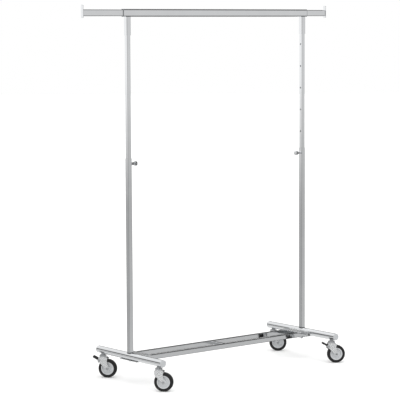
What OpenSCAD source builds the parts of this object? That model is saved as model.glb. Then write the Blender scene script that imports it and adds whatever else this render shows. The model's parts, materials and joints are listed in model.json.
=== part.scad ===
// Rolling clothes rack: two telescoping posts on a castered base, with a
// lift-off hang rail that has a pull-out extension at each end.
// X runs along the hang rail, -Y is the front, Z is up. The origin is on the
// floor, midway between the posts.

/* [Base] */
// Distance between the centrelines of the two posts
rack_width = 1220; // [900:10:1500]
// Length of each leg, front to back
leg_length = 560; // [440:10:700]
// Outer diameter of the leg tube
leg_d = 38; // [34:0.5:46]
// Wall of the leg tube
leg_wall = 1.8; // [1.2:0.1:3]
// Distance between the centrelines of the two base rails
base_rail_pitch = 126; // [90:1:180]
// Width of a base rail
base_rail_w = 20; // [16:0.5:30]
// Height of a base rail
base_rail_h = 25; // [20:0.5:30]
// Wall of the base rails
base_rail_wall = 1.5; // [1.2:0.1:2.5]
// Depth of the channel bracket that holds the rail ends
bracket_depth = 62; // [50:1:90]
// Thickness of the bracket plate
bracket_t = 3; // [2:0.5:4]

/* [Posts] */
// Length of the lower square tube
upright_length = 1022; // [860:1:1200]
// Outer side of the lower square tube
upright_side = 25.4; // [25.4:0.2:32]
// Wall of the lower square tube
upright_wall = 1.4; // [1.2:0.1:2]
// Wall of the upper square tube
post_wall = 1.2; // [1:0.1:2]
// Length of the upper tube that shows at the highest setting
post_reach = 640; // [600:1:760]
// Length of the upper tube that stays inside the lower one
post_overlap = 160; // [120:1:200]
// Distance between height holes
hole_pitch = 122; // [80:1:122]
// Number of height holes
hole_count = 6; // [3:1:6]
// Diameter of the height holes
hole_d = 9; // [8.8:0.1:11]
// Lower tube's top edge down to the plunger
plunger_drop = 27; // [20:1:60]

/* [Hang rail] */
// Height of the rail tube
rail_h = 40; // [34:0.5:50]
// Thickness of the rail tube
rail_t = 20; // [18:0.5:26]
// Wall of the rail tube
rail_wall = 1.8; // [1.2:0.1:2.4]
// Rail beyond the centreline of each post
rail_overhang = 28; // [20:1:80]
// Length of the sleeve that drops over each post
sleeve_length = 96; // [60:1:140]
// Wall of the sleeve
sleeve_wall = 2; // [1.2:0.1:3]
// Full length of each extension tube
extension_length = 420; // [380:1:480]
// Left extension drawn out by
left_reach = 255; // [60:1:300]
// Right extension drawn out by
right_reach = 143; // [60:1:300]
// Height of the end stop plate
stop_h = 66; // [50:1:90]
// Thickness of the end stop plate
stop_t = 3; // [2:0.5:5]

/* [Casters] */
// Wheel diameter
wheel_d = 100; // [80:1:104]
// Wheel's top to the underside of the legs
head_room = 30; // [26:1:50]
// Width of the tyre
tyre_w = 28; // [22:0.5:30]
// Thickness of the tyre
tyre_t = 15.5; // [10:0.5:18]
// Wheel centre behind the swivel axis
trail = 26; // [20:0.5:34]
// Leg end to the swivel axis
caster_inset = 35; // [30:1:60]
// Steel thickness of the fork
fork_t = 2.5; // [2:0.1:3]
// Diameter of the caster stem
stem_d = 10; // [8:0.5:12]
// Diameter of the axle sleeve that the wheel turns on
axle_d = 12; // [10:0.5:16]

/* [Hidden] */
$fn = 64;

// Fits between pieces
slide_gap = 0.4;      // telescoping tubes, each side
run_gap = 0.05;       // a shaft in its bore, radial
bolt_gap = 0.3;       // a bolt in its hole, radial
corner_gap = 0.5;     // extra radius at the corners of a tube inside a tube
eps = 0.5;            // overshoot of a cut

// Signs of the two ends and sides
LEFT = -1;
RIGHT = 1;
FRONT = -1;
REAR = 1;

// Heights
leg_clearance = wheel_d + head_room;
leg_r = leg_d/2;
leg_z = leg_clearance + leg_r;
leg_top = leg_clearance + leg_d;
upright_seat = 2;                     // upright's lower end above the leg's crest
upright_bottom = leg_top + upright_seat;
upright_top = upright_bottom + upright_length;
post_side = upright_side - 2*upright_wall - 2*slide_gap;
sleeve_bottom = upright_top + post_reach;
rail_bottom = sleeve_bottom + sleeve_length;
rail_z = rail_bottom + rail_h/2;
sleeve_top_t = 3;
post_top = rail_bottom - sleeve_top_t - 1;
post_bottom = upright_top - post_overlap;
sleeve_side = post_side + 2*slide_gap + 2*sleeve_wall;
plunger_z = upright_top - plunger_drop;

// Corner radii of the square tubes
upright_r = 3;
post_r = upright_r - upright_wall + corner_gap;
rail_r = 6;
base_rail_r = 2.5;
sleeve_r = 3.2;

// Base bracket and bolts
bracket_length = base_rail_pitch + base_rail_w + 4;
bolt_d = 8;
bolt_head_d = 14.5;
bolt_head_h = 5.3;
bolt_tail = 2;                        // bolt's end beyond its nut
bolt_inset = 40;                      // bolt from the leg's side
bracket_lip = 16;                     // bracket's lower flange past the leg's centreline
rail_end = rack_width/2 - leg_r - bracket_t;
bolt_x = rack_width/2 - leg_r - bolt_inset;
spacer_inset = 3.5;                   // spacer below the rails' top face
foot_stub = 34;                       // foot's spigot inside the lower tube
foot_bolt_reach = 24;                 // bolt inside the spigot
saddle_depth = leg_r - sqrt(leg_r*leg_r - upright_side*upright_side/4) + 1;

// Spring plunger
barrel_d = 14;
barrel_length = 19;
barrel_end = 3;
barrel_bore = 10.6;
pin_d = 8;
pin_flange_d = 9.8;
pin_flange_t = 1.2;
pin_home = 4.5;                       // travel from free to home in a height hole
pin_pull = 2.5;                       // travel from free to fully drawn back
stem_rod_d = 6;
knob_d = 23;
knob_length = 15;
knob_edge_r = 2;
knob_bore = 9;                        // rod's depth in the knob
spring_wire = 0.9;
spring_turns = 5;
spring_gap = 0.4;                     // coils from the rod, the flange and the barrel's end

// Hang rail bush and extensions
bush_t = 0.85;                        // bush wall between the rail and the extension
bush_length = 40;
bush_flange = 3;
stop_r = 5;
stop_plug = 12;
ext_wall = 1.5;
ext_h = rail_h - 2*rail_wall - 2*bush_t - 2*slide_gap;
ext_t = rail_t - 2*rail_wall - 2*bush_t - 2*slide_gap;
ext_r = rail_r - rail_wall - bush_t;
rail_half = rack_width/2 + rail_overhang;
stop_drop = 26;                       // stop plate below the rail's centre

// Casters: the direction each wheel trails in, from +X
wheel_r = wheel_d/2;
hub_r = wheel_r - tyre_t;
fork_gap = tyre_w + 6;
crown_d = 42;
crown_bottom = wheel_d + 4;
crown_t = 7;
race_gap = 4;                         // between the crown and the stem's race
race_top = leg_clearance - 8;
race_d = crown_d - 4;
bearing_d = crown_d - 8;
bearing_bore = stem_d + 6;
rivet_h = 5;
rivet_d = stem_d + 8;
stem_hex_d = 20;
boss_r = 10;
fork_cheek = 17;                      // fork's rear edge below its crown
fork_brow = 13;                       // fork's front edge below its crown
fork_nose = 8;                        // fork's tab ahead of its crown
rim_t = 5;
rim_inset = 1;                        // rim's edge inside the tyre's side
hub_side_gap = 1;                     // boss from the fork's plate
hub_boss_t = 6;
hub_web_t = 8;
shoulder_r = 5.6;
cap_t = 4;
cap_chamfer = 1.5;
cap_plug = 14;
socket_length = 22;
stem_depth = 26;                      // stem inside the leg
pedal_x = -19;                        // pedal's pivot, behind the swivel axis
pedal_z = crown_bottom - 10;
pedal_ear = 8;                        // fork's ear round the pedal's pivot
pedal_pin_d = 6;
pedal_barrel_r = 7.5;
pedal_w = fork_gap - 3;
pedal_reach = 40;
pedal_t = 10;
pedal_tilt = 28;
pedal_press = 12;                     // travel to full brake
shoe_h = 18;
shoe_front = 4;                       // shoe ahead of the pivot
shoe_gap = 1;                         // shoe from the tyre at full brake

LEFT_REAR = [LEFT, REAR, -48];
LEFT_FRONT = [LEFT, FRONT, -48];
RIGHT_REAR = [RIGHT, REAR, -40];
RIGHT_FRONT = [RIGHT, FRONT, -32];
CASTERS = [LEFT_REAR, LEFT_FRONT, RIGHT_REAR, RIGHT_FRONT];

// ---- Outlines and shared shapes ----

// A rectangle with round corners, centred
module round_rect(w, h, r) {
    square([w - 2*r, h], center = true);
    square([w, h - 2*r], center = true);
    for (x = [-1, 1], y = [-1, 1])
        translate([x*(w/2 - r), y*(h/2 - r)]) circle(r);
}

// The cross-section of a rectangular tube
module tube_section(w, h, r, wall) {
    difference() {
        round_rect(w, h, r);
        round_rect(w - 2*wall, h - 2*wall, max(r - wall, 0.5));
    }
}

// A rectangular tube along X, with w across Y and h up Z
module tube_x(length, w, h, r, wall) {
    rotate([90, 0, 90]) linear_extrude(length, center = true) tube_section(w, h, r, wall);
}

// Places its children at one end of the rack
module at_end(side) {
    translate([side*rack_width/2, 0, 0]) children();
}

// Places its children on a caster's swivel axis, with +X along the trail
module at_caster(c) {
    translate([c[0]*rack_width/2, c[1]*(leg_length/2 - caster_inset), 0])
        rotate([0, 0, c[2]]) children();
}

// Places its children on the inner face of a lower tube, with +Z pointing inward
module at_plunger(side) {
    translate([side*(rack_width/2 - upright_side/2), 0, plunger_z])
        rotate([0, -side*90, 0]) children();
}

// ---- Base ----

// A leg tube with a hole for each caster stem and one through for the upright's bolt
module leg(side) {
    at_end(side) difference() {
        translate([0, 0, leg_z]) rotate([90, 0, 0]) cylinder(h = leg_length, r = leg_r, center = true);
        translate([0, 0, leg_z]) rotate([90, 0, 0])
            cylinder(h = leg_length + 2*eps, r = leg_r - leg_wall, center = true);
        for (y = [FRONT, REAR])
            translate([0, y*(leg_length/2 - caster_inset), leg_clearance - eps])
                cylinder(h = leg_r, d = stem_d + 2*bolt_gap);
        translate([0, 0, leg_clearance - eps]) cylinder(h = leg_d + 2*eps, d = bolt_d + 2*bolt_gap);
    }
}

module left_leg() { color("silver") leg(LEFT); }
module right_leg() { color("silver") leg(RIGHT); }

// A plug with a domed head for each open leg end
module leg_end_caps() {
    color("gainsboro")
        for (side = [LEFT, RIGHT], y = [FRONT, REAR])
            at_end(side) translate([0, y*leg_length/2, leg_z]) rotate([-y*90, 0, 0]) {
                cylinder(h = cap_t - cap_chamfer, r = leg_r);
                translate([0, 0, cap_t - cap_chamfer])
                    cylinder(h = cap_chamfer, r1 = leg_r, r2 = leg_r - cap_chamfer);
                translate([0, 0, -cap_plug]) cylinder(h = cap_plug, r = leg_r - leg_wall - run_gap);
            }
}

// A long rail with a bolt hole near each end
module base_rail(y) {
    difference() {
        translate([0, y*base_rail_pitch/2, leg_clearance + base_rail_h/2])
            tube_x(2*rail_end, base_rail_w, base_rail_h, base_rail_r, base_rail_wall);
        for (side = [LEFT, RIGHT])
            translate([side*bolt_x, y*base_rail_pitch/2, leg_clearance - eps])
                cylinder(h = base_rail_h + 2*eps, d = bolt_d + 2*bolt_gap);
    }
}

module front_base_rail() { color("silver") base_rail(FRONT); }
module rear_base_rail() { color("silver") base_rail(REAR); }

// A channel over the rail ends, with its lower flange carried on under the leg
module base_bracket(side) {
    height = base_rail_h + 2*bracket_t;
    under_leg = leg_r + bracket_lip;
    inward = side == LEFT ? 0 : 180;
    at_end(side) rotate([0, 0, inward]) difference() {
        union() {
            translate([leg_r, -bracket_length/2, leg_clearance - bracket_t])
                cube([bracket_t, bracket_length, height]);
            for (z = [leg_clearance - bracket_t, leg_clearance + base_rail_h])
                translate([leg_r, -bracket_length/2, z])
                    cube([bracket_depth, bracket_length, bracket_t]);
            translate([leg_r - under_leg, -bracket_length/2, leg_clearance - bracket_t])
                cube([under_leg + eps, bracket_length, bracket_t]);
        }
        translate([0, 0, leg_clearance - bracket_t - eps])
            cylinder(h = bracket_t + 2*eps, d = bolt_d + 2*bolt_gap);
        for (y = [FRONT, REAR])
            translate([rack_width/2 - bolt_x, y*base_rail_pitch/2, leg_clearance - bracket_t - eps])
                cylinder(h = height + 2*eps, d = bolt_d + 2*bolt_gap);
    }
}

module left_base_bracket() { color("silver") base_bracket(LEFT); }
module right_base_bracket() { color("silver") base_bracket(RIGHT); }

// A square cross tube that keeps the two rails apart at mid length
module rail_spacer() {
    length = base_rail_pitch - base_rail_w;
    side = base_rail_h - 2*spacer_inset;
    color("silver") translate([0, 0, leg_clearance + base_rail_h/2])
        rotate([90, 0, 0]) linear_extrude(length, center = true)
            tube_section(side, side, base_rail_r, base_rail_wall);
}

// A hexagon-headed bolt pointing down from z, with its nut below
module bolt_and_nut(z, grip) {
    translate([0, 0, z]) cylinder(h = bolt_head_h, d = bolt_head_d, $fn = 6);
    translate([0, 0, z - grip - bolt_head_h - bolt_tail])
        cylinder(h = grip + bolt_head_h + bolt_tail + eps, d = bolt_d);
    translate([0, 0, z - grip - bolt_head_h]) cylinder(h = bolt_head_h, d = bolt_head_d, $fn = 6);
}

// The four bolts through the brackets and the rail ends
module base_bolts() {
    color("gainsboro")
        for (side = [LEFT, RIGHT], y = [FRONT, REAR])
            translate([side*bolt_x, y*base_rail_pitch/2, 0])
                bolt_and_nut(leg_clearance + base_rail_h + bracket_t, base_rail_h + 2*bracket_t);
}

// A bolt up through each bracket and leg into the upright's foot
module upright_bolts() {
    under = leg_clearance - bracket_t;
    color("gainsboro")
        for (side = [LEFT, RIGHT])
            at_end(side) {
                translate([0, 0, under - bolt_head_h]) cylinder(h = bolt_head_h, d = bolt_head_d, $fn = 6);
                translate([0, 0, under - eps])
                    cylinder(h = upright_bottom + foot_bolt_reach - under, d = bolt_d);
            }
}

// A saddle on the leg with a spigot that fills the end of the lower tube
module foot(side) {
    inner = upright_side - 2*upright_wall - 2*run_gap;
    at_end(side) difference() {
        union() {
            translate([0, 0, leg_top - saddle_depth])
                linear_extrude(saddle_depth + upright_seat) round_rect(upright_side, upright_side, upright_r);
            translate([0, 0, upright_bottom - eps])
                linear_extrude(foot_stub + eps) round_rect(inner, inner, upright_r - upright_wall);
        }
        translate([0, 0, leg_z]) rotate([90, 0, 0]) cylinder(h = 2*upright_side, r = leg_r, center = true);
        translate([0, 0, leg_top - eps])
            cylinder(h = foot_stub + upright_seat + 2*eps, d = bolt_d + 2*run_gap);
    }
}

module left_foot() { color("dimgray") foot(LEFT); }
module right_foot() { color("dimgray") foot(RIGHT); }

// ---- Posts ----

// The lower square tube, with the plunger's hole in its inner face
module upright(side) {
    difference() {
        at_end(side) translate([0, 0, upright_bottom])
            linear_extrude(upright_length)
                tube_section(upright_side, upright_side, upright_r, upright_wall);
        at_plunger(side) translate([0, 0, -upright_side/2])
            cylinder(h = upright_side, d = pin_d + 2*slide_gap);
    }
}

module left_upright() { color("silver") upright(LEFT); }
module right_upright() { color("silver") upright(RIGHT); }

// The upper square tube, with a row of height holes in its inner face
module post(side) {
    difference() {
        at_end(side) translate([0, 0, post_bottom])
            linear_extrude(post_top - post_bottom)
                tube_section(post_side, post_side, post_r, post_wall);
        for (i = [0:hole_count - 1])
            translate([0, 0, i*hole_pitch]) at_plunger(side)
                translate([0, 0, -upright_side/2]) cylinder(h = upright_side, d = hole_d);
    }
}

module left_post() { color("silver") post(LEFT); }
module right_post() { color("silver") post(RIGHT); }

// The cup that holds the spring and guides the pin
module plunger_barrel(side) {
    at_plunger(side) difference() {
        cylinder(h = barrel_length, d = barrel_d);
        translate([0, 0, -eps]) cylinder(h = barrel_length - barrel_end + eps, d = barrel_bore);
        translate([0, 0, -eps]) cylinder(h = barrel_length + 2*eps, d = stem_rod_d + 2*run_gap);
    }
}

module left_plunger_barrel() { color("silver") plunger_barrel(LEFT); }
module right_plunger_barrel() { color("silver") plunger_barrel(RIGHT); }

// The coils, pressed together against the barrel's end as when the knob is pulled
module plunger_spring(side) {
    first = pin_home + slide_gap + pin_flange_t + pin_pull + spring_gap + spring_wire/2;
    last = barrel_length - barrel_end - spring_gap - spring_wire/2;
    at_plunger(side)
        for (i = [0:spring_turns - 1])
            translate([0, 0, first + i*(last - first)/(spring_turns - 1)])
                rotate_extrude() translate([stem_rod_d/2 + spring_gap + spring_wire/2, 0])
                    circle(d = spring_wire);
}

module left_plunger_spring() { color("gray") plunger_spring(LEFT); }
module right_plunger_spring() { color("gray") plunger_spring(RIGHT); }

// The pin, drawn back to the tube's inner face, with its flange and rod
module plunger_pin(side) {
    flange_z = pin_home + slide_gap;
    rod_end = barrel_length + flange_z + knob_bore;
    at_plunger(side) {
        translate([0, 0, -upright_wall]) cylinder(h = upright_wall + flange_z + eps, d = pin_d);
        translate([0, 0, flange_z]) cylinder(h = pin_flange_t, d = pin_flange_d);
        translate([0, 0, flange_z]) cylinder(h = rod_end - flange_z, d = stem_rod_d);
    }
}

module left_plunger_pin() { color("gray") plunger_pin(LEFT); }
module right_plunger_pin() { color("gray") plunger_pin(RIGHT); }

// The round pull on the end of the rod
module knob(side) {
    start = barrel_length + pin_home + slide_gap;
    at_plunger(side) translate([0, 0, start]) difference() {
        rotate_extrude() union() {
            square([knob_d/2 - knob_edge_r, knob_length]);
            translate([0, knob_edge_r]) square([knob_d/2, knob_length - 2*knob_edge_r]);
            for (z = [knob_edge_r, knob_length - knob_edge_r])
                translate([knob_d/2 - knob_edge_r, z]) circle(knob_edge_r, $fn = 32);
        }
        translate([0, 0, -eps]) cylinder(h = knob_bore + eps, d = stem_rod_d);
    }
}

module left_knob() { color("silver") knob(LEFT); }
module right_knob() { color("silver") knob(RIGHT); }

// ---- Hang rail ----

module hang_rail() {
    color("silver") translate([0, 0, rail_z]) tube_x(2*rail_half, rail_t, rail_h, rail_r, rail_wall);
}

// A closed-topped sleeve under the rail for each post
module rail_sleeves() {
    inner = sleeve_side - 2*sleeve_wall;
    color("silver")
        for (side = [LEFT, RIGHT])
            at_end(side) difference() {
                translate([0, 0, sleeve_bottom]) linear_extrude(sleeve_length)
                    round_rect(sleeve_side, sleeve_side, sleeve_r);
                translate([0, 0, sleeve_bottom - eps]) linear_extrude(sleeve_length - sleeve_top_t + eps)
                    round_rect(inner, inner, post_r);
            }
}

// A flanged bush in each mouth of the rail
module guide_collars() {
    outer_t = rail_t - 2*rail_wall - 2*run_gap;
    outer_h = rail_h - 2*rail_wall - 2*run_gap;
    bore_t = ext_t + 2*slide_gap;
    bore_h = ext_h + 2*slide_gap;
    color("dimgray")
        for (side = [LEFT, RIGHT])
            translate([side*rail_half, 0, rail_z]) rotate([90, 0, side*90]) difference() {
                union() {
                    linear_extrude(bush_flange) round_rect(rail_t, rail_h, rail_r);
                    translate([0, 0, -bush_length]) linear_extrude(bush_length + eps)
                        round_rect(outer_t, outer_h, rail_r - rail_wall);
                }
                translate([0, 0, -bush_length - eps])
                    linear_extrude(bush_length + bush_flange + 2*eps)
                        round_rect(bore_t, bore_h, ext_r + slide_gap);
            }
}

// The inner tube that draws out of one end of the rail
module extension(side, reach) {
    translate([side*(rail_half + reach - extension_length/2), 0, rail_z])
        tube_x(extension_length, ext_t, ext_h, ext_r, ext_wall);
}

module left_extension() { color("silver") extension(LEFT, left_reach); }
module right_extension() { color("silver") extension(RIGHT, right_reach); }

// The plate that keeps hangers on, with a plug into the tube's end
module end_stop(side, reach) {
    translate([side*(rail_half + reach), 0, rail_z]) rotate([90, 0, side*90]) {
        translate([0, stop_h/2 - stop_drop]) linear_extrude(stop_t) round_rect(rail_t, stop_h, stop_r);
        translate([0, 0, -stop_plug]) linear_extrude(stop_plug + eps)
            round_rect(ext_t - 2*ext_wall - 2*run_gap, ext_h - 2*ext_wall - 2*run_gap, ext_r - ext_wall);
    }
}

module left_end_stop() { color("white") end_stop(LEFT, left_reach); }
module right_end_stop() { color("white") end_stop(RIGHT, right_reach); }

// ---- Casters ----

// The plug inside a leg end that each stem screws into
module caster_sockets() {
    color("gray")
        for (c = CASTERS)
            translate([c[0]*rack_width/2, c[1]*(leg_length/2 - caster_inset), leg_z]) difference() {
                rotate([90, 0, 0]) cylinder(h = socket_length, r = leg_r - leg_wall - run_gap, center = true);
                translate([0, 0, -leg_r]) cylinder(h = leg_d, d = stem_d);
            }
}

// Each stem: a screw, a hexagon, the upper race and the rivet that holds the fork
module caster_stems() {
    race_bottom = crown_bottom + crown_t + race_gap;
    color("gainsboro")
        for (c = CASTERS)
            at_caster(c) {
                translate([0, 0, crown_bottom - rivet_h])
                    cylinder(h = leg_clearance + stem_depth - crown_bottom + rivet_h, d = stem_d);
                translate([0, 0, crown_bottom - rivet_h]) cylinder(h = rivet_h - slide_gap, d = rivet_d);
                translate([0, 0, race_bottom]) cylinder(h = race_top - race_bottom, d = race_d);
                translate([0, 0, race_top - eps])
                    cylinder(h = leg_clearance - race_top + eps, d = stem_hex_d, $fn = 6);
            }
}

// One side plate of a fork, as an outline in the plane of the wheel
module fork_plate(braked) {
    half = crown_d/2;
    top = crown_bottom + crown_t;
    polygon([
        [-half, top], [-half, crown_bottom - fork_cheek], [trail - boss_r, wheel_r],
        [trail + boss_r, wheel_r], [half + fork_nose/4, crown_bottom - fork_brow],
        [half + fork_nose, crown_bottom + crown_t/4], [half, top]
    ]);
    translate([trail, wheel_r]) circle(boss_r);
    if (braked) translate([pedal_x, pedal_z]) circle(pedal_ear);
}

// The stamped fork: two plates under a round crown
module fork(c, braked) {
    at_caster(c) difference() {
        union() {
            for (side = [-1, 1])
                translate([0, side*(fork_gap + fork_t)/2, 0]) rotate([90, 0, 0])
                    linear_extrude(fork_t, center = true) fork_plate(braked);
            intersection() {
                translate([0, 0, crown_bottom]) cylinder(h = crown_t, d = crown_d);
                translate([-crown_d, -(fork_gap/2 + fork_t), 0])
                    cube([2*crown_d, fork_gap + 2*fork_t, 2*crown_bottom]);
            }
        }
        translate([0, 0, crown_bottom - eps]) cylinder(h = crown_t + 2*eps, d = stem_d + 2*run_gap);
        translate([trail, 0, wheel_r]) rotate([90, 0, 0])
            cylinder(h = 2*fork_gap, d = bolt_d + 2*run_gap, center = true);
        if (braked) translate([pedal_x, 0, pedal_z]) rotate([90, 0, 0])
            cylinder(h = 2*fork_gap, d = pedal_pin_d + 2*run_gap, center = true);
    }
}

module left_rear_fork() { color("lightgray") fork(LEFT_REAR, true); }
module left_front_fork() { color("lightgray") fork(LEFT_FRONT, false); }
module right_rear_fork() { color("lightgray") fork(RIGHT_REAR, false); }
module right_front_fork() { color("lightgray") fork(RIGHT_FRONT, true); }

// The caged ring of balls on top of a fork's crown
module bearing(c) {
    at_caster(c) translate([0, 0, crown_bottom + crown_t]) difference() {
        cylinder(h = race_gap - slide_gap, d = bearing_d);
        translate([0, 0, -eps]) cylinder(h = race_gap + 2*eps, d = bearing_bore);
    }
}

module left_rear_bearing() { color("gray") bearing(LEFT_REAR); }
module left_front_bearing() { color("gray") bearing(LEFT_FRONT); }
module right_rear_bearing() { color("gray") bearing(RIGHT_REAR); }
module right_front_bearing() { color("gray") bearing(RIGHT_FRONT); }

// The axle sleeve between the plates, its bolt, and a head at each end
module axle(c) {
    outside = fork_gap/2 + fork_t;
    at_caster(c) translate([trail, 0, wheel_r]) rotate([90, 0, 0]) {
        cylinder(h = fork_gap, d = axle_d, center = true);
        cylinder(h = 2*outside + 2*eps, d = bolt_d, center = true);
        for (side = [-1, 1])
            translate([0, 0, side*(outside + bolt_head_h/2)])
                cylinder(h = bolt_head_h, d = bolt_head_d, center = true, $fn = 6);
    }
}

module left_rear_axle() { color("gainsboro") axle(LEFT_REAR); }
module left_front_axle() { color("gainsboro") axle(LEFT_FRONT); }
module right_rear_axle() { color("gainsboro") axle(RIGHT_REAR); }
module right_front_axle() { color("gainsboro") axle(RIGHT_FRONT); }

// Places its children on a wheel's axis
module at_wheel(c) {
    at_caster(c) translate([trail, 0, wheel_r]) rotate([90, 0, 0]) children();
}

// The wheel's core: bearing boss, web and rim in one moulding
module hub(c) {
    bore = axle_d/2 + run_gap;
    boss = fork_gap/2 - hub_side_gap;
    rim = tyre_w/2 - rim_inset;
    rim_in = hub_r - rim_t;
    boss_out = bore + hub_boss_t;
    web = hub_web_t/2;
    at_wheel(c) rotate_extrude()
        polygon([
            [bore, -boss], [boss_out, -boss], [boss_out, -web], [rim_in, -web], [rim_in, -rim], [hub_r, -rim],
            [hub_r, rim], [rim_in, rim], [rim_in, web], [boss_out, web], [boss_out, boss], [bore, boss]
        ]);
}

module left_rear_hub() { color("silver") hub(LEFT_REAR); }
module left_front_hub() { color("silver") hub(LEFT_FRONT); }
module right_rear_hub() { color("silver") hub(RIGHT_REAR); }
module right_front_hub() { color("silver") hub(RIGHT_FRONT); }

// The rubber tyre, with its tread rounded off at both shoulders
module tyre(c) {
    at_wheel(c) rotate_extrude() union() {
        translate([hub_r, -tyre_w/2]) square([tyre_t/2, tyre_w]);
        translate([hub_r + tyre_t/2, 0]) round_rect(tyre_t, tyre_w, shoulder_r);
    }
}

module left_rear_tyre() { color("black") tyre(LEFT_REAR); }
module left_front_tyre() { color("black") tyre(LEFT_FRONT); }
module right_rear_tyre() { color("black") tyre(RIGHT_REAR); }
module right_front_tyre() { color("black") tyre(RIGHT_FRONT); }

// The brake pedal: a barrel on its pin, a foot plate and a shoe above the tyre
module pedal(c) {
    at_caster(c) translate([pedal_x, 0, pedal_z]) rotate([90, 0, 0]) difference() {
        union() {
            cylinder(h = pedal_w, r = pedal_barrel_r, center = true);
            rotate([0, 0, 180 - pedal_tilt]) translate([0, 1 - pedal_barrel_r, -pedal_w/2 + 2])
                cube([pedal_reach, pedal_t, pedal_w - 4]);
            translate([-pedal_barrel_r, -shoe_h, -pedal_w/2 + 3])
                cube([pedal_barrel_r + shoe_front, shoe_h, pedal_w - 6]);
        }
        cylinder(h = pedal_w + 2*eps, d = pedal_pin_d + 2*run_gap, center = true);
        rotate([0, 0, -pedal_press]) translate([trail - pedal_x, wheel_r - pedal_z, 0])
            cylinder(h = pedal_w, r = wheel_r + shoe_gap, center = true);
    }
}

module left_rear_pedal() { color("black") pedal(LEFT_REAR); }
module right_front_pedal() { color("black") pedal(RIGHT_FRONT); }

// The rivet that the pedal turns on, with a head outside each plate
module pedal_pin(c) {
    outside = fork_gap/2 + fork_t;
    head_t = 2;
    at_caster(c) translate([pedal_x, 0, pedal_z]) rotate([90, 0, 0]) {
        cylinder(h = 2*outside + 2*eps, d = pedal_pin_d, center = true);
        for (side = [-1, 1])
            translate([0, 0, side*(outside + head_t/2)])
                cylinder(h = head_t, d = pedal_pin_d + 5, center = true);
    }
}

module left_rear_pedal_pin() { color("gainsboro") pedal_pin(LEFT_REAR); }
module right_front_pedal_pin() { color("gainsboro") pedal_pin(RIGHT_FRONT); }

left_leg();
right_leg();
leg_end_caps();
front_base_rail();
rear_base_rail();
left_base_bracket();
right_base_bracket();
rail_spacer();
base_bolts();
upright_bolts();
left_foot();
right_foot();
left_upright();
right_upright();
caster_sockets();
caster_stems();
left_plunger_barrel();
right_plunger_barrel();
left_plunger_spring();
right_plunger_spring();
left_plunger_pin();
right_plunger_pin();
left_knob();
right_knob();
left_post();
right_post();
hang_rail();
rail_sleeves();
guide_collars();
left_extension();
right_extension();
left_end_stop();
right_end_stop();
left_rear_fork();
left_front_fork();
right_rear_fork();
right_front_fork();
left_rear_bearing();
left_front_bearing();
right_rear_bearing();
right_front_bearing();
left_rear_axle();
left_front_axle();
right_rear_axle();
right_front_axle();
left_rear_hub();
left_front_hub();
right_rear_hub();
right_front_hub();
left_rear_tyre();
left_front_tyre();
right_rear_tyre();
right_front_tyre();
left_rear_pedal();
right_front_pedal();
left_rear_pedal_pin();
right_front_pedal_pin();
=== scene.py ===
import bmesh
import bpy
import json
import math
from mathutils import Matrix, Vector


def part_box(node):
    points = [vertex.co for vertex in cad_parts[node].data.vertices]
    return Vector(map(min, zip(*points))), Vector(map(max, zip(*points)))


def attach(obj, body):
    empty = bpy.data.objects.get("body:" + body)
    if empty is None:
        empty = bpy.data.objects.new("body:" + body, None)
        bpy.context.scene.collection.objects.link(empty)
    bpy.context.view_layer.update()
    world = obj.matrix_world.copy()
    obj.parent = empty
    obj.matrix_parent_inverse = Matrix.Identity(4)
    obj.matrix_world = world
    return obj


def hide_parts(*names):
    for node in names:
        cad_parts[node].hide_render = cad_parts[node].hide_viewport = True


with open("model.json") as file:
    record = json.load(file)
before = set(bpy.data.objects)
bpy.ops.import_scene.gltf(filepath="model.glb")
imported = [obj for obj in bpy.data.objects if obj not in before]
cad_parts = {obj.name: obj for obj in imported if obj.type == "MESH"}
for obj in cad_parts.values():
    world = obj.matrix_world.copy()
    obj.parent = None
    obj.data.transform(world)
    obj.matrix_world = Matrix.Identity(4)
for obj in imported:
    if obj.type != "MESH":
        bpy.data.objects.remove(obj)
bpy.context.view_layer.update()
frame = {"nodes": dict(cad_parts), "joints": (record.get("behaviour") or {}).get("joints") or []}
cad = frame["nodes"]
joints = {joint["name"]: joint for joint in frame["joints"]}

# ---- Floor, light and camera ----
# A plain pale floor in a white studio with a few grey and unlit parts. Matt
# pieces see only white; chrome has no colour and shows the rest as dark lines.

FLOOR_RADIUS = 40
FLOOR_SEGMENTS = 96
SOFTBOX_ANGLE = 80
SOFTBOX_ENERGY = 1.35
SOFTBOX_TILT = (28, -24, 0)
CAMERA_AZIMUTH = -39.0
CAMERA_ELEVATION = 5.56
CAMERA_ROLL = -0.29
CAMERA_DISTANCE = 9.6
CAMERA_LENS = 160.2
CAMERA_TARGET = Vector((-0.132, 0, 0.9446))
CAMERA_SENSOR = 36
CAMERA_REACH = 200
UNLIT_WALL = (-0.63, -0.78, 0.0)              # the studio's unlit end lies this way


def linear(hex_code):
    """An sRGB hex colour as linear red, green, blue and alpha."""
    channels = [int(hex_code[i:i + 2], 16) / 255 for i in (0, 2, 4)]
    return [c / 12.92 if c <= 0.04045 else ((c + 0.055) / 1.055) ** 2.4 for c in channels] + [1.0]


def add(tree, kind, inputs, **settings):
    """Adds a node, with its settings and with its inputs set or linked."""
    node = tree.nodes.new(kind)
    for name, value in settings.items():
        if name == "stops":
            ramp = node.color_ramp.elements
            while len(ramp) < len(value):
                ramp.new(0.5)
            for stop, (place, grey) in zip(ramp, value):
                stop.position = place
                stop.color = (grey, grey, grey, 1)
        else:
            setattr(node, name, value)
    for socket, value in inputs.items():
        if isinstance(value, bpy.types.NodeSocket):
            tree.links.new(value, node.inputs[socket])
        else:
            node.inputs[socket].default_value = value
    return node


def new_material(name):
    """An empty node material and its tree."""
    material = bpy.data.materials.new(name)
    material.use_nodes = True
    material.node_tree.nodes.clear()
    return material, material.node_tree


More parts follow.
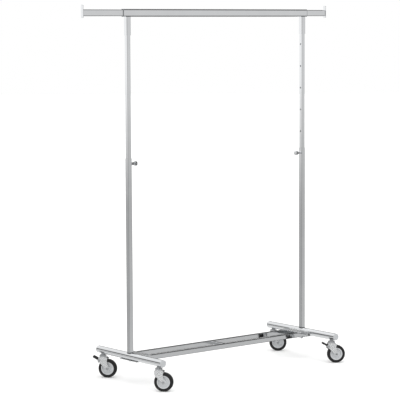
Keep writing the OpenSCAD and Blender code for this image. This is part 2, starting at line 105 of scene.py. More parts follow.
def studio_sky():
    """White for matt surfaces; what a mirror sees is a studio with grey and unlit parts."""
    world = bpy.data.worlds.new("studio")
    world.use_nodes = True
    tree = world.node_tree
    tree.nodes.clear()
    ray = add(tree, "ShaderNodeTexCoord", {})
    axes = add(tree, "ShaderNodeSeparateXYZ", {"Vector": ray.outputs["Generated"]})

    # Grey levels from straight down (0) past level (0.5) to straight up (1), on three sides
    height = add(tree, "ShaderNodeMapRange", {"Value": axes.outputs["Z"], "From Min": -1.0, "From Max": 1.0})
    behind = add(tree, "ShaderNodeValToRGB", {"Fac": height.outputs["Result"]}, stops=[
        (0.00, 0.86), (0.30, 0.86), (0.40, 0.46), (0.45, 0.46), (0.485, 1.10), (0.510, 1.15), (0.518, 0.10),
        (0.620, 0.12), (0.70, 0.95), (1.00, 1.15)
    ])
    ahead = add(tree, "ShaderNodeValToRGB", {"Fac": height.outputs["Result"]}, stops=[
        (0.00, 0.95), (0.14, 0.80), (0.24, 0.30), (0.34, 0.50), (0.40, 0.66), (0.45, 0.62), (0.485, 0.92),
        (0.530, 0.86), (0.66, 0.36), (0.76, 0.34), (0.88, 1.10)
    ])
    right = add(tree, "ShaderNodeValToRGB", {"Fac": height.outputs["Result"]}, stops=[
        (0.00, 0.16), (0.36, 0.14), (0.39, 0.66), (0.45, 0.52), (0.485, 0.76), (0.520, 0.76), (0.535, 0.10),
        (0.80, 0.10), (0.92, 0.30), (1.00, 1.10)
    ])
    to_behind = add(tree, "ShaderNodeMapRange", {
        "Value": axes.outputs["Y"], "From Min": -0.35, "From Max": 0.35
    }, interpolation_type="SMOOTHSTEP")
    two_sides = add(tree, "ShaderNodeMix", {
        0: to_behind.outputs["Result"], 6: ahead.outputs["Color"], 7: behind.outputs["Color"]
    }, data_type="RGBA")
    to_right = add(tree, "ShaderNodeMapRange", {
        "Value": axes.outputs["X"], "From Min": 0.42, "From Max": 0.56
    }, interpolation_type="SMOOTHSTEP")
    three_sides = add(tree, "ShaderNodeMix", {
        0: to_right.outputs["Result"], 6: two_sides.outputs[2], 7: right.outputs["Color"]
    }, data_type="RGBA")

    # Two unlit parts: one end of the studio, but not its foot, and the far right
    facing = add(tree, "ShaderNodeVectorMath", {
        0: ray.outputs["Generated"], 1: UNLIT_WALL
    }, operation="DOT_PRODUCT")
    end_part = add(tree, "ShaderNodeMapRange", {
        "Value": facing.outputs["Value"], "From Min": 0.45, "From Max": 0.75, "To Max": 0.8
    }, interpolation_type="SMOOTHSTEP")
    above_foot = add(tree, "ShaderNodeMapRange", {"Value": axes.outputs["Z"], "From Min": -0.20, "From Max": -0.15})
    end_wall = add(tree, "ShaderNodeMath", {
        0: end_part.outputs["Result"], 1: above_foot.outputs["Result"]
    }, operation="MULTIPLY")
    side_wall = add(tree, "ShaderNodeMapRange", {
        "Value": axes.outputs["X"], "From Min": 0.74, "From Max": 0.86, "To Max": 0.75
    }, interpolation_type="SMOOTHSTEP")
    unlit = add(tree, "ShaderNodeMath", {
        0: end_wall.outputs["Value"], 1: side_wall.outputs["Result"]
    }, operation="MAXIMUM")
    mirrored = add(tree, "ShaderNodeMix", {
        0: unlit.outputs["Value"], 6: three_sides.outputs[2], 7: linear("8C8C8C")
    }, data_type="RGBA")

    ray_kind = add(tree, "ShaderNodeLightPath", {})
    shown = add(tree, "ShaderNodeMix", {
        0: ray_kind.outputs["Is Glossy Ray"], 6: (1, 1, 1, 1), 7: mirrored.outputs[2]
    }, data_type="RGBA")
    light = add(tree, "ShaderNodeBackground", {"Color": shown.outputs[2], "Strength": 1.0})
    add(tree, "ShaderNodeOutputWorld", {"Surface": light.outputs["Background"]})
    world.cycles.sampling_method = "NONE"
    bpy.context.scene.world = world


def floor_paint():
    """Matt pale paint with a faint mottle."""
    material, tree = new_material("matt_floor_paint")
    place = add(tree, "ShaderNodeTexCoord", {})
    mottle = add(tree, "ShaderNodeTexNoise", {"Vector": place.outputs["Object"], "Scale": 3.0, "Detail": 3.0})
    tint = add(tree, "ShaderNodeMix", {
        0: mottle.outputs["Fac"], 6: linear("F7F7F6"), 7: linear("FAFAFA")
    }, data_type="RGBA")
    paint = add(tree, "ShaderNodeBsdfPrincipled", {"Base Color": tint.outputs[2], "Roughness": 0.9})
    add(tree, "ShaderNodeOutputMaterial", {"Surface": paint.outputs["BSDF"]})
    return material


studio_sky()
bm = bmesh.new()
bmesh.ops.create_circle(bm, cap_ends=True, segments=FLOOR_SEGMENTS, radius=FLOOR_RADIUS)
floor_mesh = bpy.data.meshes.new("floor")
bm.to_mesh(floor_mesh)
bm.free()
floor_mesh.materials.append(floor_paint())
floor = bpy.data.objects.new("floor", floor_mesh)
floor.visible_glossy = False
bpy.context.scene.collection.objects.link(floor)

softbox_data = bpy.data.lights.new("softbox", "SUN")
softbox_data.angle = math.radians(SOFTBOX_ANGLE)
softbox_data.energy = SOFTBOX_ENERGY
softbox = bpy.data.objects.new("softbox", softbox_data)
softbox.rotation_euler = [math.radians(turn) for turn in SOFTBOX_TILT]
bpy.context.scene.collection.objects.link(softbox)

azimuth = math.radians(CAMERA_AZIMUTH)
elevation = math.radians(CAMERA_ELEVATION)
towards_camera = Vector((
    math.sin(azimuth) * math.cos(elevation), -math.cos(azimuth) * math.cos(elevation), math.sin(elevation)
))
camera_data = bpy.data.cameras.new("camera")
camera_data.lens = CAMERA_LENS
camera_data.sensor_width = CAMERA_SENSOR
camera_data.clip_end = CAMERA_REACH
camera = bpy.data.objects.new("camera", camera_data)
camera.matrix_world = (
    Matrix.Translation(CAMERA_TARGET + CAMERA_DISTANCE * towards_camera)
    @ towards_camera.to_track_quat("Z", "Y").to_matrix().to_4x4()
    @ Matrix.Rotation(math.radians(CAMERA_ROLL), 4, "Z")
)
bpy.context.scene.collection.objects.link(camera)
bpy.context.scene.camera = camera
bpy.context.scene.view_settings.view_transform = "Standard"

# ---- Chromed tubes ----
# Welded steel tube, drawn to size, polished and then chrome plated. The plate
# is a mirror with a slight haze, and keeps faint lines along the drawing.

DRAW_LINE_PITCH = 0.0015                      # drawn coarser than the real lines, so that they show
DRAW_LINE_LENGTH = 0.4
SMEARS_PER_METRE = 14.0


def chrome_plate(name, along):
    """Polished chrome whose faint draw lines run along one axis (0, 1 or 2)."""
    material, tree = new_material(name)
    place = add(tree, "ShaderNodeTexCoord", {})
    lines_per_metre = [1 / DRAW_LINE_PITCH] * 3
    lines_per_metre[along] = 1 / DRAW_LINE_LENGTH
    stretch = add(tree, "ShaderNodeMapping", {"Vector": place.outputs["Object"], "Scale": lines_per_metre})
    lines = add(tree, "ShaderNodeTexNoise", {"Vector": stretch.outputs["Vector"], "Scale": 1.0, "Detail": 3.0})
    smears = add(tree, "ShaderNodeTexNoise", {
        "Vector": place.outputs["Object"], "Scale": SMEARS_PER_METRE, "Detail": 4.0, "Roughness": 0.6
    })
    haze = add(tree, "ShaderNodeMapRange", {
        "Value": smears.outputs["Fac"], "From Min": 0.3, "From Max": 0.7, "To Min": 0.03, "To Max": 0.08
    })
    tint = add(tree, "ShaderNodeMix", {
        0: smears.outputs["Fac"], 6: linear("DADCDE"), 7: linear("E6E7E8")
    }, data_type="RGBA")
    relief = add(tree, "ShaderNodeBump", {"Height": lines.outputs["Fac"], "Strength": 0.05, "Distance": 0.0002})
    plate = add(tree, "ShaderNodeBsdfPrincipled", {
        "Base Color": tint.outputs[2], "Metallic": 1.0, "Roughness": haze.outputs["Result"],
        "Normal": relief.outputs["Normal"]
    })
    add(tree, "ShaderNodeOutputMaterial", {"Surface": plate.outputs["BSDF"]})
    return material


chrome_x = chrome_plate("polished_chrome_drawn_lengthwise", 0)
chrome_y = chrome_plate("polished_chrome_drawn_crosswise", 1)
chrome_z = chrome_plate("polished_chrome_drawn_upright", 2)

for node in ("front_base_rail", "rear_base_rail", "hang_rail", "left_extension", "right_extension"):
    cad[node].material_slots[0].material = chrome_x
for node in ("left_leg", "right_leg", "rail_spacer"):
    cad[node].material_slots[0].material = chrome_y
for node in ("left_upright", "right_upright", "left_post", "right_post", "rail_sleeves"):
    cad[node].material_slots[0].material = chrome_z

# ---- Leg end caps ----
# A push-in plug of grey moulded plastic in each leg end, with a domed head as
# wide as the tube and a shallow dish in its middle.

CAP_ROUND = 0.0025
CAP_DISH = 0.0008
CAP_RIM = 0.25                                # share of the radius left flat around the dish
CAP_PLUG = 0.9                                # the plug's radius as a share of the head's
CAP_PLUG_LENGTH = 0.010
SHARP_ANGLE = 32                              # edges that turn by more are shaded sharp
ROUNDED_ANGLE = 30                            # edges that turn by more are rounded
SEAM = 0.0005                                 # how far joined parts of one piece run into each other


def soften(bm, offset, segments=3):
    """Rounds every sharp edge."""
    turn = math.radians(ROUNDED_ANGLE)
    sharp = [e for e in bm.edges if len(e.link_faces) == 2 and e.calc_face_angle(0) > turn]
    bmesh.ops.bevel(bm, geom=sharp, offset=offset, offset_type="OFFSET", segments=segments, profile=0.5,
                    affect="EDGES", material=-1, clamp_overlap=True)


def disc(bm, radius, low, high, segments=64):
    """A solid disc or bar on the Z axis, between two heights."""
    bmesh.ops.create_cone(
        bm, cap_ends=True, segments=segments, radius1=radius, radius2=radius, depth=high - low,
        matrix=Matrix.Translation((0, 0, (low + high) / 2))
    )


def top_face(bm):
    """The face that looks up, highest of all."""
    return max(bm.faces, key=lambda face: (round(face.calc_center_median().z, 7), face.normal.z))


def add_to(whole, part, matrix):
    """Adds a finished bmesh to another one, at a place."""
    part.transform(matrix)
    mesh = bpy.data.meshes.new("part")
    part.to_mesh(mesh)
    part.free()
    whole.from_mesh(mesh)
    bpy.data.meshes.remove(mesh)


def piece(name, bm, body, material, nodes):
    """Makes a piece from a bmesh, smooth but for its sharp edges, and ties it to its body."""
    bmesh.ops.recalc_face_normals(bm, faces=bm.faces[:])
    mesh = bpy.data.meshes.new(name)
    bm.to_mesh(mesh)
    bm.free()
    mesh.polygons.foreach_set("use_smooth", [True] * len(mesh.polygons))
    mesh.set_sharp_from_angle(angle=math.radians(SHARP_ANGLE))
    mesh.materials.append(material)
    made = bpy.data.objects.new(name, mesh)
    bpy.context.scene.collection.objects.link(made)
    made.modifiers.new("flat_faces_stay_flat", "WEIGHTED_NORMAL").keep_sharp = True
    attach(made, body)
    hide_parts(*nodes)


def moulded_plastic(name, dark, light, grain, roughness):
    """Moulded plastic: a slight sheen over a fine spark-eroded grain."""
    material, tree = new_material(name)
    place = add(tree, "ShaderNodeTexCoord", {})
    skin = add(tree, "ShaderNodeTexNoise", {"Vector": place.outputs["Object"], "Scale": 1 / grain, "Detail": 2.0})
    cloud = add(tree, "ShaderNodeTexNoise", {"Vector": place.outputs["Object"], "Scale": 60.0, "Detail": 3.0})
    tint = add(tree, "ShaderNodeMix", {
        0: cloud.outputs["Fac"], 6: linear(dark), 7: linear(light)
    }, data_type="RGBA")
    gloss = add(tree, "ShaderNodeMapRange", {
        "Value": cloud.outputs["Fac"], "To Min": roughness - 0.06, "To Max": roughness + 0.06
    })
    relief = add(tree, "ShaderNodeBump", {"Height": skin.outputs["Fac"], "Strength": 0.12, "Distance": 0.0002})
    body = add(tree, "ShaderNodeBsdfPrincipled", {
        "Base Color": tint.outputs[2], "Roughness": gloss.outputs["Result"], "Normal": relief.outputs["Normal"]
    })
    add(tree, "ShaderNodeOutputMaterial", {"Surface": body.outputs["BSDF"]})
    return material


cap_plastic = moulded_plastic("moulded_light_grey_cap_plastic", "A6A8AA", "B2B4B6", 0.0009, 0.34)
caps = bmesh.new()
cap_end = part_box("leg_end_caps")[1].y
for leg in ("left_leg", "right_leg"):
    low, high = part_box(leg)
    for side in (-1, 1):
        cap = bmesh.new()
        head = cap_end - high.y
        radius = (high.x - low.x) / 2
        disc(cap, radius, 0, head)
        rim = [e for e in cap.edges if all(v.co.z > head / 2 for v in e.verts)]
        bmesh.ops.bevel(cap, geom=rim, offset=CAP_ROUND, offset_type="OFFSET", segments=6, profile=0.5,
                        affect="EDGES", material=-1)
        bmesh.ops.inset_region(cap, faces=[top_face(cap)], thickness=radius * CAP_RIM)
        dish = top_face(cap)
        bmesh.ops.inset_region(cap, faces=[dish], thickness=CAP_DISH)
        bmesh.ops.translate(cap, verts=dish.verts[:], vec=(0, 0, -CAP_DISH))
        disc(cap, radius * CAP_PLUG, -CAP_PLUG_LENGTH, SEAM)
        place = Matrix.Translation(((low.x + high.x) / 2, side * high.y, (low.z + high.z) / 2))
        add_to(caps, cap, place @ Matrix.Rotation(-side * math.pi / 2, 4, "X"))
piece("leg_end_plugs", caps, "base", cap_plastic, ["leg_end_caps"])

# ---- Base brackets and their bolts ----
# A folded steel channel takes the ends of both base rails and hooks under the
# leg. Hexagon bolts go down through channel and rail, with a washer under each.

BRACKET_SHEET = 0.003
BRACKET_ROUND = 0.0009
BOLT_SHANK = 0.008
BOLT_HEAD = 0.0145
BOLT_TAIL = 0.001
NUT_HEIGHT = 0.0053
HEAD_ROUND = 0.0006
WASHER = 0.0185
WASHER_SHEET = 0.0012
WASHER_ROUND = 0.0003


def zinc_plate(name, colour, roughness, grain):
    """Bright zinc over pressed or turned steel, with a soft mottle."""
    material, tree = new_material(name)
    place = add(tree, "ShaderNodeTexCoord", {})
    spangle = add(tree, "ShaderNodeTexNoise", {"Vector": place.outputs["Object"], "Scale": 1 / grain, "Detail": 3.0})
    gloss = add(tree, "ShaderNodeMapRange", {
        "Value": spangle.outputs["Fac"], "From Min": 0.3, "From Max": 0.7,
        "To Min": roughness - 0.07, "To Max": roughness + 0.07
    })
    shade = add(tree, "ShaderNodeMix", {
        0: spangle.outputs["Fac"], 6: linear(colour[0]), 7: linear(colour[1])
    }, data_type="RGBA")
    relief = add(tree, "ShaderNodeBump", {"Height": spangle.outputs["Fac"], "Strength": 0.08, "Distance": 0.0003})
    plate = add(tree, "ShaderNodeBsdfPrincipled", {
        "Base Color": shade.outputs[2], "Metallic": 0.7, "Roughness": gloss.outputs["Result"],
        "Normal": relief.outputs["Normal"]
    })
    add(tree, "ShaderNodeOutputMaterial", {"Surface": plate.outputs["BSDF"]})
    return material


bright_zinc = zinc_plate("bright_zinc_on_pressed_steel", ("DADCDD", "ECEDEE"), 0.26, 0.006)
fastener_zinc = zinc_plate("zinc_on_turned_steel", ("A8AAAC", "C0C2C4"), 0.32, 0.002)

for name, inward in (("left", 1), ("right", -1)):
    low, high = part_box(name + "_base_bracket")
    leg_low, leg_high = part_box(name + "_leg")
    open_edge = high.x if inward > 0 else low.x
    lip = low.x if inward > 0 else high.x
    back = leg_high.x if inward > 0 else leg_low.x
    inner_back = back + inward * BRACKET_SHEET
    bottom, top = low.z + BRACKET_SHEET, high.z - BRACKET_SHEET
    channel = bmesh.new()
    outline = [
        (lip, low.z), (open_edge, low.z), (open_edge, bottom), (inner_back, bottom), (inner_back, top),
        (open_edge, top), (open_edge, high.z), (back, high.z), (back, bottom), (lip, bottom)
    ]
    section = channel.faces.new([channel.verts.new((x, low.y, z)) for x, z in outline])
    drawn = bmesh.ops.extrude_face_region(channel, geom=[section])
    bmesh.ops.translate(channel, verts=[v for v in drawn["geom"] if isinstance(v, bmesh.types.BMVert)],
                        vec=(0, high.y - low.y, 0))
    bmesh.ops.recalc_face_normals(channel, faces=channel.faces[:])
    soften(channel, BRACKET_ROUND)
    piece(name + "_rail_channel", channel, "base", bright_zinc, [name + "_base_bracket"])


def hex_bolt(length, head_low, head_high, nut_low, nut_high, washer_heights):
    """A hexagon bolt on the Z axis with its nut and washers."""
    bolt = bmesh.new()
    disc(bolt, BOLT_SHANK / 2, length[0], length[1], 32)
    for low, high in ((head_low, head_high), (nut_low, nut_high)):
        head = bmesh.new()
        disc(head, BOLT_HEAD / 2, low, high, 6)
        soften(head, HEAD_ROUND)
        add_to(bolt, head, Matrix())
    for low in washer_heights:
        washer = bmesh.new()
        disc(washer, WASHER / 2, low, low + WASHER_SHEET, 48)
        soften(washer, WASHER_ROUND, 2)
        add_to(bolt, washer, Matrix())
    return bolt


bolts = bmesh.new()
low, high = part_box("base_bolts")
bracket_low, bracket_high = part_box("left_base_bracket")
for side in (-1, 1):
    for rail in ("front_base_rail", "rear_base_rail"):
        rail_low, rail_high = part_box(rail)
        across = (rail_low.y + rail_high.y) / 2
        bolt = hex_bolt(
            (low.z, bracket_high.z + BOLT_TAIL), bracket_high.z + WASHER_SHEET, high.z,
            bracket_low.z - NUT_HEIGHT, bracket_low.z, [bracket_high.z]
        )
        add_to(bolts, bolt, Matrix.Translation((side * (high.x - BOLT_HEAD / 2), across, 0)))
piece("base_rail_bolts", bolts, "base", fastener_zinc, ["base_bolts"])
cad["upright_bolts"].material_slots[0].material = fastener_zinc

# ---- Feet ----
# A dark nylon saddle sits on each leg, and its spigot fills the lower end of
# the square tube above it. Only the saddle's edge shows.

dark_nylon = moulded_plastic("moulded_dark_grey_nylon", "3C3E40", "484A4C", 0.0008, 0.48)
for node in ("left_foot", "right_foot"):
    cad[node].material_slots[0].material = dark_nylon

# ---- Spring plungers ----
# A turned barrel welded to each lower tube guides a spring-loaded pin. A round
# chromed pull with a milled grip is pressed on the pin's rod.

GRIP_FLUTES = 28
GRIP_DEPTH = 0.0004
GRIP_MARGIN = 0.0016                          # the rims carry no flutes
PULL_ROUND = 0.0018
PULL_FACE = 0.3                               # share of the radius outside the dimple
DIMPLE_WIDTH = 0.0012
DIMPLE_DEPTH = 0.0008


def spring_steel():
    """Oiled spring wire: dark, even and slightly glossy."""
    material, tree = new_material("oiled_spring_steel")
    place = add(tree, "ShaderNodeTexCoord", {})
    oil = add(tree, "ShaderNodeTexNoise", {"Vector": place.outputs["Object"], "Scale": 500.0, "Detail": 2.0})
    gloss = add(tree, "ShaderNodeMapRange", {"Value": oil.outputs["Fac"], "To Min": 0.25, "To Max": 0.45})
    shade = add(tree, "ShaderNodeMix", {
        0: oil.outputs["Fac"], 6: linear("6A6B6C"), 7: linear("7E7F80")
    }, data_type="RGBA")
    wire = add(tree, "ShaderNodeBsdfPrincipled", {
        "Base Color": shade.outputs[2], "Metallic": 1.0, "Roughness": gloss.outputs["Result"]
    })
    add(tree, "ShaderNodeOutputMaterial", {"Surface": wire.outputs["BSDF"]})
    return material


wire_steel = spring_steel()
for name, inward in (("left", 1), ("right", -1)):
    cad[name + "_plunger_barrel"].material_slots[0].material = chrome_x
    cad[name + "_plunger_pin"].material_slots[0].material = fastener_zinc
    cad[name + "_plunger_spring"].material_slots[0].material = wire_steel
    low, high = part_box(name + "_knob")
    radius, length = (high.z - low.z) / 2, high.x - low.x
    pull = bmesh.new()
    disc(pull, radius, 0, length, 4 * GRIP_FLUTES)
    rims = [e for e in pull.edges if abs(e.verts[0].co.z - e.verts[1].co.z) < length / 4]
    bmesh.ops.bevel(pull, geom=rims, offset=PULL_ROUND, offset_type="OFFSET", segments=4, profile=0.5,
                    affect="EDGES", material=-1)
    for vertex in pull.verts:
        around = math.atan2(vertex.co.y, vertex.co.x)
        if GRIP_MARGIN < vertex.co.z < length - GRIP_MARGIN:
            out = 1 - GRIP_DEPTH / radius * (0.5 + 0.5 * math.cos(GRIP_FLUTES * around))
            vertex.co.x *= out
            vertex.co.y *= out
    bmesh.ops.inset_region(pull, faces=[top_face(pull)], thickness=radius * PULL_FACE)
    dimple = top_face(pull)
    bmesh.ops.inset_region(pull, faces=[dimple], thickness=DIMPLE_WIDTH)
    bmesh.ops.translate(pull, verts=dimple.verts[:], vec=(0, 0, -DIMPLE_DEPTH))
    start = low.x if inward > 0 else high.x
    place = Matrix.Translation((start, (low.y + high.y) / 2, (low.z + high.z) / 2))
    pull.transform(place @ Matrix.Rotation(inward * math.pi / 2, 4, "Y"))
    piece(name + "_pull", pull, name + "_plunger", chrome_x, [name + "_knob"])

# ---- Hang rail ends ----
# A nylon bush lines each mouth of the rail, and a chromed plate with rounded
# corners closes each pull-out tube and keeps hangers from sliding off.

STOP_CORNER = 0.005
STOP_ROUND = 0.0008
PLUG_INSET = 0.0032                           # the plug is this much smaller than the tube
PLUG_CORNER = 0.0018
PLUG_LENGTH = 0.012


def plate(bm, across, along, corner, thick, steps=8):
    """A flat plate with round corners, centred on Z, from 0 up."""
    made = bmesh.ops.create_grid(bm, x_segments=1, y_segments=1, size=0.5,
                                 matrix=Matrix.Diagonal((across, along, 1, 1)))
    bmesh.ops.bevel(bm, geom=made["verts"], offset=corner, offset_type="OFFSET", segments=steps, profile=0.5,
                    affect="VERTICES", material=-1)
    lifted = bmesh.ops.extrude_face_region(bm, geom=bm.faces[:])
    bmesh.ops.translate(bm, verts=[v for v in lifted["geom"] if isinstance(v, bmesh.types.BMVert)],
                        vec=(0, 0, thick))
    bmesh.ops.recalc_face_normals(bm, faces=bm.faces[:])


mid_grey_nylon = moulded_plastic("moulded_mid_grey_nylon", "6E7072", "7C7E80", 0.0008, 0.4)
cad["guide_collars"].material_slots[0].material = mid_grey_nylon
for name, outward in (("left", -1), ("right", 1)):
    low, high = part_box(name + "_end_stop")
    tube_low, tube_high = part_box(name + "_extension")
    mouth = tube_low.x if outward < 0 else tube_high.x
    end = low.x if outward < 0 else high.x
    stop = bmesh.new()
    plate(stop, high.z - low.z, high.y - low.y, STOP_CORNER, abs(end - mouth))
    soften(stop, STOP_ROUND)
    plug = bmesh.new()
    plate(plug, tube_high.z - tube_low.z - PLUG_INSET, tube_high.y - tube_low.y - PLUG_INSET, PLUG_CORNER,
          PLUG_LENGTH)
    turn = Matrix.Rotation(outward * math.pi / 2, 4, "Y")
    middle = (tube_low.z + tube_high.z) / 2
    drop = middle - (low.z + high.z) / 2
    add_to(stop, plug, Matrix.Translation((-outward * drop, 0, SEAM - PLUG_LENGTH)))
    stop.transform(Matrix.Translation((mouth, 0, (low.z + high.z) / 2)) @ turn)
    piece(name + "_stop_plate", stop, name + "_extension", chrome_z, [name + "_end_stop"])

# ---- Casters ----
# Each caster is a pressed steel fork under a ball race, a grey moulded wheel
# core with a solid black tyre, and a through bolt. Two carry a brake pedal.

FORK_SHEET = 0.0025
FORK_ROUND = 0.0006
FORK_GAP = 0.034
CHEEK = 0.017                                 # upright part of the cheek, below the crown
CHEEK_ROUND = 0.006
BROW = 0.013                                  # front edge of the cheek, below the crown
BROW_OUT = 0.002
NOSE_OUT = 0.008
NOSE_RISE = 0.0018
NOSE_ROUND = 0.003
EAR_RADIUS = 0.008
CORNER_STEPS = 8
CROWN_RADIUS = 0.021
CROWN_DEPTH = 0.007
CROWN_ROUND = 0.0018
BOSS = 0.010
BOSS_ROUND = 0.999                            # just under a half circle, so that its ends don't meet
TYRE_WIDTH = 0.028
TYRE_CROWN = 0.0012                           # the tread's fall towards its edges
TYRE_LIP = 0.002
TYRE_EDGE = 0.0005
SHOULDER_ROUND = 0.0045
SHOULDER_STEPS = 6
HUB_BORE = 0.0062
HUB_BOSS = 0.006                              # wall of the boss around the bore
HUB_SLOPE = 0.002
HUB_SIDE_GAP = 0.001
HUB_WEB = 0.004                               # half the web's thickness
HUB_RIM = 0.005
HUB_ROUND = 0.0012
AXLE_SLEEVE = 0.006
AXLE_SEGMENTS = 48
TREAD_STEPS = 96
WHISKER = 1e-5                                # two heights or radii this close are the same
CASTERS = ("left_rear", "left_front", "right_rear", "right_front")


def black_rubber():
    """Solid rubber tyre: deep black, matt, with a dusty bloom in patches."""
    material, tree = new_material("matt_black_solid_rubber")
    place = add(tree, "ShaderNodeTexCoord", {})
    bloom = add(tree, "ShaderNodeTexNoise", {"Vector": place.outputs["Object"], "Scale": 45.0, "Detail": 5.0})
    skin = add(tree, "ShaderNodeTexNoise", {"Vector": place.outputs["Object"], "Scale": 1 / 0.0012, "Detail": 2.0})
    shade = add(tree, "ShaderNodeMix", {
        0: bloom.outputs["Fac"], 6: linear("0C0C0D"), 7: linear("1B1B1C")
    }, data_type="RGBA")
    gloss = add(tree, "ShaderNodeMapRange", {"Value": bloom.outputs["Fac"], "To Min": 0.66, "To Max": 0.84})
    relief = add(tree, "ShaderNodeBump", {"Height": skin.outputs["Fac"], "Strength": 0.25, "Distance": 0.0002})
    rubber = add(tree, "ShaderNodeBsdfPrincipled", {
        "Base Color": shade.outputs[2], "Roughness": gloss.outputs["Result"], "Normal": relief.outputs["Normal"]
    })
    add(tree, "ShaderNodeOutputMaterial", {"Surface": rubber.outputs["BSDF"]})
    return material


rubber = black_rubber()
hub_plastic = moulded_plastic("moulded_light_grey_hub_plastic", "B4B6B8", "C6C8CA", 0.0011, 0.4)
pedal_nylon = moulded_plastic("moulded_black_pedal_nylon", "121213", "202021", 0.0008, 0.42)


def turned(profile, steps):
    """A closed outline of radius and height, spun once round the Z axis."""
    bm = bmesh.new()
    ring = [bm.verts.new((radius, 0, height)) for radius, height in profile]
    edges = [bm.edges.new((ring[i], ring[(i + 1) % len(ring)])) for i in range(len(ring))]
    bmesh.ops.spin(bm, geom=ring + edges, cent=(0, 0, 0), axis=(0, 0, 1), angle=2 * math.pi, steps=steps,
                   use_merge=True, use_duplicate=False)
    bmesh.ops.remove_doubles(bm, verts=bm.verts[:], dist=1e-7)
    bmesh.ops.recalc_face_normals(bm, faces=bm.faces[:])
    return bm


def caster_place(name):
    """Where a caster stands, with X along its trail and Z up from the floor, and the trail's length."""
    swivel = Vector(joints[name + "_swivel"]["pos_m"])
    wheel = Vector(joints[name + "_roll"]["pos_m"])
    trail = (wheel - swivel).to_2d()
    along = Matrix.Rotation(math.atan2(trail.y, trail.x), 4, "Z")
    return Matrix.Translation((swivel.x, swivel.y, 0)) @ along, trail.length


def fork_side(trail, wheel_z, crown_z, braked, pivot):
    """One cheek of the fork in its own plane, X along the trail and Z up."""
    side = bmesh.new()
    top = crown_z + CROWN_DEPTH
    outline = [
        (-CROWN_RADIUS, top), (-CROWN_RADIUS, crown_z - CHEEK), (trail - BOSS, wheel_z),
        (trail - BOSS, wheel_z - BOSS), (trail + BOSS, wheel_z - BOSS), (CROWN_RADIUS + BROW_OUT, crown_z - BROW),
        (CROWN_RADIUS + NOSE_OUT, crown_z + NOSE_RISE), (CROWN_RADIUS, top)
    ]
    corners = [side.verts.new((x, 0, z)) for x, z in outline]
    side.faces.new(corners)
    foot, bends, nose = corners[3:5], [corners[1], corners[2], corners[5]], [corners[6]]
    for chosen, radius in ((foot, BOSS * BOSS_ROUND), (bends, CHEEK_ROUND), (nose, NOSE_ROUND)):
        bmesh.ops.bevel(side, geom=chosen, offset=radius, offset_type="OFFSET", segments=CORNER_STEPS,
                        profile=0.5, affect="VERTICES", material=-1)
    sheet = bmesh.ops.extrude_face_region(side, geom=side.faces[:])
    bmesh.ops.translate(side, verts=[v for v in sheet["geom"] if isinstance(v, bmesh.types.BMVert)],
                        vec=(0, FORK_SHEET, 0))
    bmesh.ops.recalc_face_normals(side, faces=side.faces[:])
    soften(side, FORK_ROUND)
    if braked:
        ear = bmesh.new()
        disc(ear, EAR_RADIUS, 0, FORK_SHEET, AXLE_SEGMENTS)
        soften(ear, FORK_ROUND)
        at_pivot = Matrix.Translation((pivot.x, FORK_SHEET, pivot.z))
        add_to(side, ear, at_pivot @ Matrix.Rotation(math.pi / 2, 4, "X"))
    return side


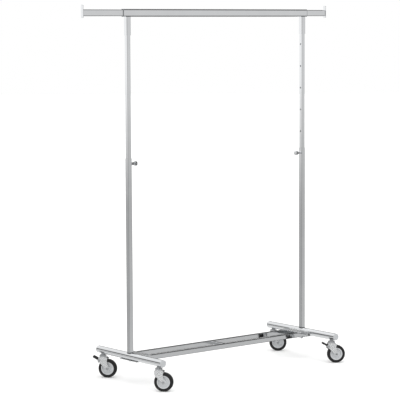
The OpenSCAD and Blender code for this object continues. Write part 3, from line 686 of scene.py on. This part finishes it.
for name in CASTERS:
    place, trail = caster_place(name)
    wheel = Vector(joints[name + "_roll"]["pos_m"])
    axle = place @ Matrix.Translation((trail, 0, wheel.z)) @ Matrix.Rotation(math.pi / 2, 4, "X")
    crown_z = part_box(name + "_bearing")[0].z - CROWN_DEPTH
    braked = name + "_brake" in joints
    pivot = place.inverted() @ Vector(joints[name + "_brake"]["pos_m"]) if braked else None

    fork = bmesh.new()
    for offset in (FORK_GAP / 2, -FORK_GAP / 2 - FORK_SHEET):
        cheek = fork_side(trail, wheel.z, crown_z, braked, pivot)
        add_to(fork, cheek, Matrix.Translation((0, offset, 0)))
    crown = bmesh.new()
    disc(crown, CROWN_RADIUS, crown_z, crown_z + CROWN_DEPTH)
    soften(crown, CROWN_ROUND, 4)
    add_to(fork, crown, Matrix())
    fork.transform(place)
    piece(name + "_pressed_fork", fork, name + "_fork", bright_zinc, [name + "_fork"])
    cad[name + "_bearing"].material_slots[0].material = bright_zinc

    radius, half = wheel.z, TYRE_WIDTH / 2
    hub_low, hub_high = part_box(name + "_hub")
    hub_radius = (hub_high.z - hub_low.z) / 2
    edge = radius - TYRE_CROWN
    tyre = turned([
        (hub_radius, TYRE_EDGE - half), (hub_radius + TYRE_LIP, -half), (edge, -half), (radius, -half / 2),
        (radius, half / 2), (edge, half), (hub_radius + TYRE_LIP, half), (hub_radius, half - TYRE_EDGE)
    ], TREAD_STEPS)
    shoulders = [e for e in tyre.edges if all(
        abs(v.co.to_2d().length - edge) < WHISKER and abs(abs(v.co.z) - half) < WHISKER for v in e.verts)]
    bmesh.ops.bevel(tyre, geom=shoulders, offset=SHOULDER_ROUND, offset_type="OFFSET", segments=SHOULDER_STEPS,
                    profile=0.5, affect="EDGES", material=-1)
    tyre.transform(axle)
    piece(name + "_solid_tyre", tyre, name + "_wheel", rubber, [name + "_tyre"])

    boss, rim = FORK_GAP / 2 - HUB_SIDE_GAP, half - HUB_SIDE_GAP
    boss_radius, rim_inside = HUB_BORE + HUB_BOSS, hub_radius - HUB_RIM
    core = turned([
        (HUB_BORE, -boss), (boss_radius, -boss), (boss_radius + HUB_SLOPE, -HUB_WEB),
        (rim_inside - HUB_SLOPE, -HUB_WEB), (rim_inside, -rim), (hub_radius, -rim), (hub_radius, rim),
        (rim_inside, rim), (rim_inside - HUB_SLOPE, HUB_WEB), (boss_radius + HUB_SLOPE, HUB_WEB),
        (boss_radius, boss), (HUB_BORE, boss)
    ], TREAD_STEPS)
    soften(core, HUB_ROUND)
    core.transform(axle)
    piece(name + "_wheel_core", core, name + "_wheel", hub_plastic, [name + "_hub"])

    outside = FORK_GAP / 2 + FORK_SHEET
    end = outside + NUT_HEIGHT
    bolt = hex_bolt((-end, end), outside, end, -end, -outside, [])
    sleeve = bmesh.new()
    disc(sleeve, AXLE_SLEEVE, -FORK_GAP / 2, FORK_GAP / 2, AXLE_SEGMENTS)
    add_to(bolt, sleeve, Matrix())
    bolt.transform(axle)
    piece(name + "_axle_bolt", bolt, name + "_fork", fastener_zinc, [name + "_axle"])

cad["caster_stems"].material_slots[0].material = fastener_zinc
cad["caster_sockets"].material_slots[0].material = fastener_zinc

# ---- Brake pedals ----
# A black nylon lever on a rivet through the fork. Its tread is ribbed, and its
# shoe presses on the tyre when the tread is stepped on.

PEDAL_WIDTH = 0.027
PEDAL_REACH = 0.040
PEDAL_SHEET = 0.010
PEDAL_TILT = 28
PEDAL_CORNER = 0.006
PEDAL_ROUND = 0.0015
PEDAL_SINK = 0.0035                           # the tread's underside, below the pivot
RIB_COUNT = 5
RIB_PITCH = 0.0048
RIB_START = 0.006
RIB_SIZE = Vector((0.0022, 0.019, 0.0014))    # along the tread, across it and up
RIB_CORNER = 0.0009
RIB_ROUND = 0.0004
RIB_SINK = 0.0042
BARREL_RADIUS = 0.0075
BARREL_HALF = 0.0155
SHOE_SIZE = Vector((0.0095, 0.025, 0.012))
SHOE_PLACE = Vector((-0.0028, 0, -0.0125))
SHOE_CORNER = 0.002
LEVER_ROUND = 0.0008                          # of the barrel and the shoe

for name in CASTERS:
    if name + "_brake" not in joints:
        continue
    place = caster_place(name)[0]
    pivot = place.inverted() @ Vector(joints[name + "_brake"]["pos_m"])
    pedal = bmesh.new()
    tread = bmesh.new()
    plate(tread, PEDAL_REACH, PEDAL_WIDTH, PEDAL_CORNER, PEDAL_SHEET)
    soften(tread, PEDAL_ROUND, 4)
    lever = Matrix.Rotation(math.radians(PEDAL_TILT), 4, "Y")
    add_to(pedal, tread, lever @ Matrix.Translation((-PEDAL_REACH / 2, 0, -PEDAL_SINK)))
    for i in range(RIB_COUNT):
        rib = bmesh.new()
        plate(rib, RIB_SIZE.x, RIB_SIZE.y, RIB_CORNER, RIB_SIZE.z, 3)
        soften(rib, RIB_ROUND, 2)
        along = RIB_START - PEDAL_REACH + i * RIB_PITCH
        add_to(pedal, rib, lever @ Matrix.Translation((along, 0, PEDAL_SHEET - RIB_SINK)))
    barrel = bmesh.new()
    disc(barrel, BARREL_RADIUS, -BARREL_HALF, BARREL_HALF, AXLE_SEGMENTS)
    soften(barrel, LEVER_ROUND)
    add_to(pedal, barrel, Matrix.Rotation(math.pi / 2, 4, "X"))
    shoe = bmesh.new()
    plate(shoe, SHOE_SIZE.x, SHOE_SIZE.y, SHOE_CORNER, SHOE_SIZE.z)
    soften(shoe, LEVER_ROUND)
    add_to(pedal, shoe, Matrix.Translation(SHOE_PLACE))
    pedal.transform(place @ Matrix.Translation((pivot.x, 0, pivot.z)))
    piece(name + "_brake_lever", pedal, name + "_pedal", pedal_nylon, [name + "_pedal"])
    cad[name + "_pedal_pin"].material_slots[0].material = fastener_zinc
